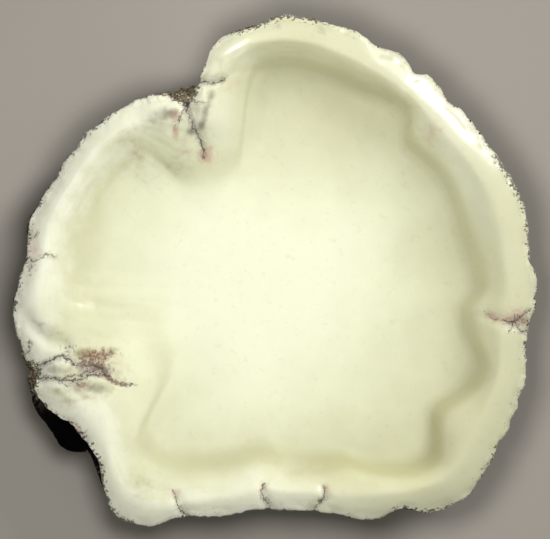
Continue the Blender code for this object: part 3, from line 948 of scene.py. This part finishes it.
@dataclass(frozen=True)
class GrainScatter:
    """Loose-looking grains set in the stone's surface, strewn by one of its attributes."""

    name: str
    # Attribute that says where they lie
    share: str
    per_square_mm: float
    # Least and greatest half width of a grain, and how deep its middle lies, in millimetres
    sizes: tuple[float, float]
    sink: float
    seed: int

    def tree(self) -> tuple[bpy.types.NodeTree, dict[str, str]]:
        """Make the tree that strews the grains.

        Returns:
            The tree, and the identifier of each of its inputs by name.
        """
        tree = bpy.data.node_groups.new(self.name, "GeometryNodeTree")
        kinds = (("Geometry", "Geometry"), ("Density", "Float"), ("Smallest", "Float"), ("Largest", "Float"),
                 ("Sink", "Float"), ("Seed", "Int"), ("Finish", "Material"))
        known = {}
        for name, kind in kinds:
            socket = tree.interface.new_socket(name, in_out="INPUT", socket_type=f"NodeSocket{kind}")
            known[name] = socket.identifier
        tree.interface.new_socket("Geometry", in_out="OUTPUT", socket_type="NodeSocketGeometry")
        given = tree.nodes.new("NodeGroupInput").outputs
        share = add(tree, "GeometryNodeInputNamedAttribute", {"Name": self.share}, data_type="FLOAT")
        density = add(tree, "ShaderNodeMath", {0: share, 1: given["Density"]}, operation="MULTIPLY")
        inputs = {"Mesh": given["Geometry"], "Density": density, "Seed": given["Seed"]}
        strewn = add(tree, "GeometryNodeDistributePointsOnFaces", inputs).node
        inputs = {0: strewn.outputs["Normal"], "Scale": given["Sink"]}
        sink = add(tree, "ShaderNodeVectorMath", inputs, operation="SCALE")
        points = add(tree, "GeometryNodeSetPosition", {"Geometry": strewn.outputs["Points"], "Offset": sink})
        grain = add(tree, "GeometryNodeMeshIcoSphere", {"Radius": 1.0, "Subdivisions": 1})
        size_low = add(tree, "ShaderNodeCombineXYZ", {i: given["Smallest"] for i in range(3)})
        size_high = add(tree, "ShaderNodeCombineXYZ", {i: given["Largest"] for i in range(3)})
        inputs = {0: size_low, 1: size_high, "Seed": 3}
        size = add(tree, "FunctionNodeRandomValue", inputs, data_type="FLOAT_VECTOR")
        inputs = {0: (0.0, 0.0, 0.0), 1: (math.tau,) * 3, "Seed": 5}
        turn = add(tree, "FunctionNodeRandomValue", inputs, data_type="FLOAT_VECTOR")
        inputs = {"Points": points, "Instance": grain, "Rotation": turn, "Scale": size}
        grains = add(tree, "GeometryNodeInstanceOnPoints", inputs)
        real = add(tree, "GeometryNodeRealizeInstances", {"Geometry": grains})
        smooth = add(tree, "GeometryNodeSetShadeSmooth", {"Geometry": real})
        dressed = add(tree, "GeometryNodeSetMaterial", {"Geometry": smooth, "Material": given["Finish"]})
        give(tree, tree.nodes.new("NodeGroupOutput"), {"Geometry": dressed})
        return tree, known

    def build(self, stone: bpy.types.Object, finish: bpy.types.Material) -> bpy.types.Object:
        """Strew the grains over the stone as a piece of their own.

        Args:
            stone: The finished stone.
            finish: Material of the grains.

        Returns:
            The grains as one plain mesh.
        """
        tree, known = self.tree()
        carrier = put(self.name + "_carrier", stone.data)
        modifier = carrier.modifiers.new("strew", "NODES")
        modifier.node_group = tree
        values = {"Density": self.per_square_mm / MM**2, "Smallest": self.sizes[0] * MM,
                  "Largest": self.sizes[1] * MM, "Sink": -self.sink * MM, "Seed": self.seed, "Finish": finish}
        for name, value in values.items():
            modifier[known[name]] = value
        evaluated = carrier.evaluated_get(bpy.context.evaluated_depsgraph_get())
        mesh = bpy.data.meshes.new_from_object(evaluated)
        bpy.data.objects.remove(carrier)
        mesh.name = self.name
        return put(self.name, mesh)


@dataclass
class FinishTree:
    """One material's tree, with the steps that the finishes share."""

    name: str
    material: bpy.types.Material = field(init=False)
    tree: bpy.types.NodeTree = field(init=False)
    shader: bpy.types.Node = field(init=False)
    where: Socket = field(init=False)

    def __post_init__(self) -> None:
        """Make the material and the coordinates that its patterns read."""
        self.material = bpy.data.materials.new(self.name)
        self.material.use_nodes = True
        self.tree = self.material.node_tree
        self.shader = self.tree.nodes["Principled BSDF"]
        self.where = add(self.tree, "ShaderNodeTexCoord", out="Object")

    def dress(self, inputs: dict) -> bpy.types.Material:
        """Give the shader its inputs by name, and hand back the finished material."""
        give(self.tree, self.shader, inputs)
        return self.material

    def marks(self, names: list[str]) -> dict[str, Socket]:
        """Read some attributes of the stone's points, by name."""
        return {name: add(self.tree, "ShaderNodeAttribute", out="Fac", attribute_name=name) for name in names}

    def mottle(self, size_mm: float, low: float, high: float) -> Socket:
        """Soft-edged patches of a real size.

        Args:
            size_mm: Width of a patch in millimetres.
            low: Noise value where a patch begins.
            high: Noise value where it is full.

        Returns:
            Value from 0 to 1.
        """
        inputs = {"Vector": self.where, "Scale": 1.0 / (size_mm * MM), "Detail": 3.0, "Roughness": 0.6}
        value = add(self.tree, "ShaderNodeTexNoise", inputs)
        inputs = {"Value": value, "From Min": low, "From Max": high}
        return add(self.tree, "ShaderNodeMapRange", inputs, interpolation_type="SMOOTHSTEP")

    def ragged(self, cover: Socket, size_mm: float, amount: float, low: float, high: float) -> Socket:
        """Break the edge of a cover up with noise.

        Args:
            cover: Soft cover from 0 to 1.
            size_mm: Width of the raggedness in millimetres.
            amount: How far the noise shifts the cover.
            low: Shifted value where the cover begins.
            high: Shifted value where it is full.

        Returns:
            Value from 0 to 1.
        """
        inputs = {0: self.mottle(size_mm, *NOISE_SPAN), 1: amount, 2: -amount / 2.0}
        moved = add(self.tree, "ShaderNodeMath", inputs, operation="MULTIPLY_ADD")
        total = add(self.tree, "ShaderNodeMath", {0: cover, 1: moved}, operation="ADD")
        inputs = {"Value": total, "From Min": low, "From Max": high}
        return add(self.tree, "ShaderNodeMapRange", inputs, interpolation_type="SMOOTHSTEP")

    def layered(self, colour: Paint, layers: list[tuple[Socket, float, Paint]]) -> Paint:
        """Lay colours over one another.

        Args:
            colour: Colour underneath.
            layers: For each layer in turn, where it lies from 0 to 1, how much of it shows at most and its
                colour.

        Returns:
            The mixed colour.
        """
        for share, strength, over in layers:
            inputs = {0: share, 1: strength}
            part = add(self.tree, "ShaderNodeMath", inputs, operation="MULTIPLY", use_clamp=True)
            inputs = {0: part, 6: colour, 7: over}
            colour = add(self.tree, "ShaderNodeMix", inputs, out=2, data_type="RGBA")
        return colour

    def most(self, shares: list[Socket]) -> Socket:
        """Greatest of some shares.

        Args:
            shares: Values from 0 to 1.

        Returns:
            The greatest value at each place.
        """
        found = shares[0]
        for share in shares[1:]:
            found = add(self.tree, "ShaderNodeMath", {0: found, 1: share}, operation="MAXIMUM")
        return found

    def network(self, cell_mm: float, width: float) -> Socket:
        """Draw a fine wavering net of lines with cells of a real size.

        Args:
            cell_mm: Width of a cell in millimetres.
            width: Half width of a line, as a share of a cell.

        Returns:
            Value from 0 to 1, full on the lines.
        """
        bend_length, bend_reach = 0.7 * cell_mm * MM, 0.8 * cell_mm * MM
        inputs = {"Vector": self.where, "Scale": 1.0 / bend_length, "Detail": 2.0}
        waver = add(self.tree, "ShaderNodeTexNoise", inputs, out="Color")
        inputs = {0: waver, 1: (bend_reach,) * 3, 2: self.where}
        bent = add(self.tree, "ShaderNodeVectorMath", inputs, operation="MULTIPLY_ADD")
        inputs = {"Vector": bent, "Scale": 1.0 / (cell_mm * MM)}
        edge = add(self.tree, "ShaderNodeTexVoronoi", inputs, feature="DISTANCE_TO_EDGE")
        inputs = {"Value": edge, "From Min": 0.0, "From Max": width, "To Min": 1.0, "To Max": 0.0}
        return add(self.tree, "ShaderNodeMapRange", inputs, interpolation_type="SMOOTHSTEP")


@dataclass(frozen=True)
class PolishedDatolite:
    """Porcelain-like datolite, ground and polished: the eye gets a milky, wax-smooth gloss with depth."""

    # Paler painted pool of light in the middle of the floor, and the stone's colour beyond it
    painted_pool_light: str = "#f8fadb"
    beyond_light_pool: Tint = (1.0, "#d3d2ac")
    # Olive of the crease, darkened as painted shade; also the colour of the patches of painted shade
    crease: Tint = (0.8, "#bcb88b")
    rind: Tint = (1.0, "#f0f0dd")
    # White of the cloudy lobes, also laid as painted light on the right crease's step
    white_lobe_and_light: Tint = (0.7, "#f0f0dd")
    olive: Tint = (0.85, "#a59c72")
    pink: Tint = (0.85, "#c79f8c")
    grey: Tint = (0.85, "#878270")
    # Two shades of grains each, the second strewn over the first, and how much of them shows
    purple_light: str = "#b7aaa2"
    purple_dark: Tint = (0.9, "#5b4239")
    purple_share: float = 0.8
    brown_light: str = "#c6aa8e"
    brown_dark: Tint = (0.8, "#58402f")
    brown_share: float = 0.95
    # Beside a crack, its fine hair cracks, the crack, and dark specks of the broken edge
    halo: Tint = (0.5, "#a09a8d")
    hair: Tint = (0.45, "#453427")
    crack: Tint = (0.85, "#453427")
    edge: Tint = (0.85, "#3b332b")
    # Middle of a painted pool of light, where the floor is palest, in metres
    light_pool_middle: tuple[float, float, float] = (-0.003, -0.003, 0.010)
    # Metres from there where the painted pool of light begins to fade and where it is gone, and shift by the
    # clouds
    light_pool_reach: tuple[float, float] = (0.014, 0.064)
    cloud: Mottle = (15.0, 0.2, 0.8)
    cloud_shift: float = 0.012
    # What a millimetre from the rim takes off the rind, the dark specks and the frosting of the broken edge
    rind_fall: float = -0.09
    speck_fall: float = -0.55
    frost_fall: float = -0.7
    rind_edge: Ragged = (4.0, 0.4, 0.0, 0.8)
    soaked_edge: Ragged = (1.6, 0.35, 0.05, 1.0)
    purple_edge: Ragged = (0.7, 0.9, 0.3, 0.8)
    brown_edge: Ragged = (1.3, 0.7, 0.3, 0.7)
    halo_edge: Ragged = (1.1, 0.6, 0.25, 1.1)
    net_edge: Ragged = (1.5, 0.8, 0.5, 0.9)
    line_edge: Ragged = (0.8, 0.7, 0.25, 0.75)
    speck_edge: Ragged = (0.7, 1.3, 0.35, 0.65)
    speck_strength: float = 0.9
    fine: Mottle = (0.45, 0.34, 0.6)
    purple_grains: Mottle = (0.5, 0.45, 0.6)
    # Width of a cell of the net of hair cracks in millimetres, and of its lines as a share of it
    net: tuple[float, float] = (1.3, 0.1)
    # Bends of a crack's line and the millimetres that they reach, and the shift that evens them out
    waver: Mottle = (1.4, 0.25, 0.75)
    waver_reach: float = 0.8
    shiver: Mottle = (0.4, 0.25, 0.75)
    shiver_reach: float = 0.12
    bend_shift: float = -0.46
    # Swellings of a crack's line, and its half width in millimetres: what they add, and the least
    swell: Mottle = (1.7, 0.3, 0.8)
    half_width: tuple[float, float] = (0.14, 0.09)
    # Share of the half width over which a line fades
    line_fade: tuple[float, float] = (0.3, 1.3)
    roughness: float = 0.21
    vein_roughness: float = 0.5
    # How dull the polish is beside a crack
    dulling: float = 0.7

    def crack_lines(self, made: FinishTree, marks: dict[str, Socket]) -> Socket:
        """Draw thin dark lines that waver, swell and break along the cracks.

        Args:
            made: Tree of the polished finish.
            marks: The stone's attributes by name.

        Returns:
            Value from 0 to 1, full on the lines.
        """
        tree = made.tree
        inputs = {0: made.mottle(*self.waver), 1: self.waver_reach, 2: self.bend_shift}
        moved = add(tree, "ShaderNodeMath", inputs, operation="MULTIPLY_ADD")
        inputs = {0: made.mottle(*self.shiver), 1: self.shiver_reach, 2: moved}
        moved = add(tree, "ShaderNodeMath", inputs, operation="MULTIPLY_ADD")
        inputs = {0: made.mottle(*self.swell), 1: self.half_width[0], 2: self.half_width[1]}
        width = add(tree, "ShaderNodeMath", inputs, operation="MULTIPLY_ADD")
        low, high = self.line_fade
        lines = []
        for family in CrackFamily:
            across = add(tree, "ShaderNodeMath", {0: marks[family.value], 1: moved}, operation="ADD")
            across = add(tree, "ShaderNodeMath", {0: across}, operation="ABSOLUTE")
            share = add(tree, "ShaderNodeMath", {0: across, 1: width}, operation="DIVIDE")
            inputs = {"Value": share, "From Min": low, "From Max": high, "To Min": 1.0, "To Max": 0.0}
            line = add(tree, "ShaderNodeMapRange", inputs, interpolation_type="SMOOTHSTEP")
            near = made.ragged(marks[family.value + "_near"], *self.line_edge)
            lines.append(add(tree, "ShaderNodeMath", {0: line, 1: near}, operation="MULTIPLY"))
        return made.most(lines)

    def outside_light_pool(self, made: FinishTree) -> Socket:
        """Find where the stone lies outside a painted pool of light that pales the middle of the floor.

        Args:
            made: Tree of the polished finish.

        Returns:
            Value from 0 in the pool of light to 1 outside it.
        """
        inputs = {0: made.where, 1: self.light_pool_middle}
        away = add(made.tree, "ShaderNodeVectorMath", inputs, out=1, operation="DISTANCE")
        inputs = {0: made.mottle(*self.cloud), 1: self.cloud_shift, 2: away}
        away = add(made.tree, "ShaderNodeMath", inputs, operation="MULTIPLY_ADD")
        inputs = {"Value": away, "From Min": self.light_pool_reach[0], "From Max": self.light_pool_reach[1]}
        return add(made.tree, "ShaderNodeMapRange", inputs, interpolation_type="SMOOTHSTEP")

    def build(self) -> bpy.types.Material:
        """Make the material.

        Returns:
            The polished finish of the face.
        """
        made = FinishTree("polished_porcelain_datolite")
        tree = made.tree
        names = ["to_rim", "edge_dark", "rind", "crease", *(kind.value for kind in StainKind)]
        for family in CrackFamily:
            names += [family.value, family.value + "_near"]
        marks = made.marks(names)
        edge = marks["to_rim"]
        inputs = {0: edge, 1: self.rind_fall, 2: 1.0}
        inward = add(tree, "ShaderNodeMath", inputs, operation="MULTIPLY_ADD", use_clamp=True)
        inputs = {0: made.ragged(inward, *self.rind_edge), 1: marks["rind"]}
        rind = add(tree, "ShaderNodeMath", inputs, operation="MULTIPLY")
        olive, pink, grey = (
            made.ragged(marks["stain_" + name], *self.soaked_edge) for name in ("olive", "pink", "grey")
        )
        speckled = made.ragged(marks["stain_purple"], *self.purple_edge)
        patchy = made.ragged(marks["stain_brown"], *self.brown_edge)
        fine = made.mottle(*self.fine)
        purple = made.layered(self.purple_light, [(made.mottle(*self.purple_grains), *self.purple_dark)])
        brown = made.layered(self.brown_light, [(fine, *self.brown_dark)])
        near = made.most([marks[family.value + "_near"] for family in CrackFamily])
        inputs = {0: made.network(*self.net), 1: made.ragged(near, *self.net_edge)}
        net = add(tree, "ShaderNodeMath", inputs, operation="MULTIPLY")
        lines = self.crack_lines(made, marks)
        inputs = {0: marks["edge_dark"], 1: self.speck_strength}
        dark = add(tree, "ShaderNodeMath", inputs, operation="MULTIPLY")
        inputs = {0: edge, 1: self.speck_fall, 2: dark}
        speck = made.ragged(add(tree, "ShaderNodeMath", inputs, operation="MULTIPLY_ADD"), *self.speck_edge)
        colour = made.layered(self.painted_pool_light, [
            # Painted pool of light, paler in the middle of the floor
            (self.outside_light_pool(made), *self.beyond_light_pool),
            # Olive of the crease, deepened as painted shade along it
            (marks["crease"], *self.crease),
            # Patches of painted shade, in the crease's colour
            (marks["stain_thick"], *self.crease),
            # Paler rind towards the rim, cloudy white lobes, and painted light along the steep step of the
            # right crease
            (rind, *self.rind),
            (marks["stain_white"], *self.white_lobe_and_light),
            (olive, *self.olive),
            (pink, *self.pink),
            (grey, *self.grey),
            # Speckled grains, halos and lines of the veins
            (speckled, self.purple_share, purple),
            (patchy, self.brown_share, brown),
            (made.ragged(near, *self.halo_edge), *self.halo),
            (net, *self.hair),
            (lines, *self.crack),
            # Specks of dark skin along the broken edge
            (speck, *self.edge),
        ])
        dulled = add(tree, "ShaderNodeMath", {0: near, 1: self.dulling}, operation="MULTIPLY")
        inputs = {0: edge, 1: self.frost_fall, 2: 1.0}
        frosted = add(tree, "ShaderNodeMath", inputs, operation="MULTIPLY_ADD", use_clamp=True)
        rough = made.most([lines, patchy, speck, dulled, frosted])
        inputs = {0: rough, 1: self.vein_roughness - self.roughness, 2: self.roughness}
        roughness = add(tree, "ShaderNodeMath", inputs, operation="MULTIPLY_ADD")
        height = add(tree, "ShaderNodeMath", {0: rough, 1: fine}, operation="MULTIPLY")
        bump = add(tree, "ShaderNodeBump", {"Height": height, "Strength": 0.5, "Distance": 0.00012})
        return made.dress({
            "Base Color": colour, "Roughness": roughness, "Normal": bump, "IOR": 1.64,
            "Subsurface Weight": 0.4, "Subsurface Radius": (1.0, 0.9, 0.55), "Subsurface Scale": 0.003,
        })


@dataclass(frozen=True)
class NaturalSkin:
    """Weathered nodule skin, left as it was dug: the eye gets a dull, gritty dark crust with pale specks."""

    dark: str = "#2c2620"
    brown: Tint = (1.0, "#65584a")
    green: Tint = (0.7, "#6d6c58")
    pale: Tint = (0.8, "#b8ad92")
    tan: Tint = (0.8, "#94856a")
    creased: Tint = (0.8, "#2c2620")
    bare: Tint = (0.95, "#d3cdb2")
    # Near-black painted shade on the lump at the lower left
    shadow_black: Tint = (1.0, "#030202")
    brown_patches: Mottle = (6.0, 0.35, 0.65)
    green_patches: Mottle = (11.0, 0.5, 0.7)
    pale_specks: Mottle = (0.7, 0.55, 0.68)
    # Width of a cell of the net of creases in millimetres, and of its lines as a share of it
    net: tuple[float, float] = (1.6, 0.16)
    bare_edge: Ragged = (1.8, 1.1, 0.35, 0.65)
    grit: Mottle = (0.8, 0.2, 0.8)
    roughness: float = 0.86

    def build(self) -> bpy.types.Material:
        """Make the material.

        Returns:
            The rough finish of the outside.
        """
        made = FinishTree("weathered_nodule_skin")
        marks = made.marks(["tan_skin", "bare_stone", "black_skin"])
        colour = made.layered(self.dark, [
            (made.mottle(*self.brown_patches), *self.brown),
            (made.mottle(*self.green_patches), *self.green),
            (made.mottle(*self.pale_specks), *self.pale),
            (marks["tan_skin"], *self.tan),
            (made.network(*self.net), *self.creased),
            (made.ragged(marks["bare_stone"], *self.bare_edge), *self.bare),
            # Painted shade: near-black where the lump lies in deep shadow
            (marks["black_skin"], *self.shadow_black),
        ])
        inputs = {"Height": made.mottle(*self.grit), "Strength": 0.8, "Distance": 0.0004}
        bump = add(made.tree, "ShaderNodeBump", inputs)
        return made.dress({
            "Base Color": colour, "Normal": bump, "Roughness": self.roughness, "Specular IOR Level": 0.05,
        })


@dataclass(frozen=True)
class GrainFinish:
    """Mineral grains in a vein or crust: the eye gets small dull specks in two mixed shades."""

    name: str
    first: str
    second: str
    patch: float
    # Noise values where the second shade begins and is full
    edge: tuple[float, float] = (0.42, 0.58)
    roughness: float = 0.7

    def build(self) -> bpy.types.Material:
        """Make the material.

        Returns:
            The finish of the grains.
        """
        made = FinishTree(self.name)
        colour = made.layered(self.first, [(made.mottle(self.patch, *self.edge), 1.0, self.second)])
        return made.dress({"Base Color": colour, "Roughness": self.roughness})


@dataclass(frozen=True)
class Lamp:
    """Soft oblong lamp aimed at the dish."""

    name: str
    # Azimuth counterclockwise from +X, and angle down from straight overhead
    direction: tuple[float, float]
    # Metres from the place that it points at, and its own width and height in metres
    distance: float
    size: tuple[float, float]
    # Watts
    power: float
    # Place that it points at, in millimetres
    aim: tuple[float, float, float] = (0.0, 0.0, 15.0)
    spread: float = 180.0
    # Whether polished stone mirrors it
    glossy: bool = True

    def build(self) -> None:
        """Place the lamp."""
        data = bpy.data.lights.new(self.name, "AREA")
        data.shape = "RECTANGLE"
        data.size, data.size_y = self.size
        data.energy = self.power
        data.spread = math.radians(self.spread)
        lamp = put(self.name, data)
        turn, down = math.radians(self.direction[0]), math.radians(self.direction[1])
        way = Vector((math.sin(down) * math.cos(turn), math.sin(down) * math.sin(turn), math.cos(down)))
        lamp.location = way * self.distance + Vector(self.aim) * MM
        lamp.rotation_mode = "QUATERNION"
        lamp.rotation_quaternion = way.to_track_quat("Z", "Y")
        lamp.visible_camera = False
        lamp.visible_glossy = self.glossy


@dataclass
class Studio:
    """Pale floor, soft lamps and the camera that looks straight down on the dish."""

    # Middle of the picture and the width that it takes in, in the frame the outlines are drawn in
    middle: tuple[float, float] = (0.2, 0.2)
    width: float = 110.0
    rim_level: float = 16.5
    lens: float = 300.0
    sensor: float = 36.0
    floor_colour: str = "#a9a299"
    sky_colour: str = "#f2f3ee"
    sky_strength: float = 0.3
    lamps: tuple[Lamp, ...] = (
        Lamp("rim_lamp_right", (46.0, 68.0), 0.6, (0.13, 0.3), 2.4),
        Lamp("rim_lamp_left", (131.0, 60.0), 0.12, (0.03, 0.022), 0.0011, (-6.8, 45.2, 16.5), 24.0),
        Lamp("soft_key", (180.0, 2.5), 0.16, (0.06, 0.06), 0.16, glossy=False),
    )

    def camera(self, shift: np.ndarray) -> None:
        """Place the camera over the dish.

        Args:
            shift: How far the stone was moved to stand over the origin, in millimetres.
        """
        data = bpy.data.cameras.new("camera")
        data.lens, data.sensor_width = self.lens, self.sensor
        data.clip_start, data.clip_end = 0.01, 20.0
        camera = put("camera", data)
        height = self.rim_level + self.width * self.lens / self.sensor
        place = (self.middle[0] - shift[0], self.middle[1] - shift[1], height)
        camera.location = Vector(place) * MM
        bpy.context.scene.camera = camera

    def floor(self) -> None:
        """Lay a plain pale floor just under the dish."""
        mesh = bpy.data.meshes.new("floor")
        # Metres; its top lies a hair under the dish's foot
        half, level = 3.0, -0.0002
        corners = [(-half, -half, level), (half, -half, level), (half, half, level), (-half, half, level)]
        mesh.from_pydata(corners, [], [(0, 1, 2, 3)])
        material = bpy.data.materials.new("matt_pale_paper")
        material.use_nodes = True
        shader = material.node_tree.nodes["Principled BSDF"]
        give(material.node_tree, shader, {"Base Color": self.floor_colour, "Roughness": 0.9})
        mesh.materials.append(material)
        floor = put("floor", mesh)

    def build(self, shift: np.ndarray) -> None:
        """Set up the camera, the lamps, the sky and the floor.

        Args:
            shift: How far the stone was moved to stand over the origin, in millimetres.
        """
        self.camera(shift)
        self.floor()
        for lamp in self.lamps:
            lamp.build()
        world = bpy.data.worlds.new("studio")
        world.use_nodes = True
        sky = world.node_tree.nodes["Background"]
        give(world.node_tree, sky, {"Color": self.sky_colour, "Strength": self.sky_strength})
        bpy.context.scene.world = world
        bpy.context.scene.view_settings.view_transform = "Standard"


def main() -> None:
    """Build the dish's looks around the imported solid."""
    logging.basicConfig(level=logging.INFO, format="%(name)s: %(message)s")
    stone = DatoliteStone()
    piece = stone.build()
    piece.data.materials.append(PolishedDatolite().build())
    piece.data.materials.append(NaturalSkin().build())
    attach(piece, "root")
    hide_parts("datolite_dish")
    LOG.info("%s: %d points, moved by %s mm", piece.name, len(piece.data.vertices), stone.shift)
    scatters = (
        (GrainScatter("vein_grains", "vein_grains", per_square_mm=4.0, sizes=(0.05, 0.12), sink=0.05, seed=1),
         GrainFinish("iron_stained_vein_grains", "#553b2e", "#b59a88", patch=0.5)),
        (GrainScatter("rind_grains", "rim_grains", per_square_mm=1.5, sizes=(0.08, 0.22), sink=0.07, seed=2),
         GrainFinish("crumbled_datolite_grains", "#e4dfcc", "#b3a794", patch=1.2)),
        (GrainScatter("skin_grains", "skin_grains", per_square_mm=0.7, sizes=(0.12, 0.38), sink=0.1, seed=3),
         GrainFinish("weathered_skin_grit", "#5a4d3f", "#1c1713", patch=1.4)),
    )
    for scatter, finish in scatters:
        grains = scatter.build(piece, finish.build())
        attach(grains, "root")
        LOG.info("%s: %d points", grains.name, len(grains.data.vertices))
    Studio().build(stone.shift)


if __name__ == "__main__":
    main()
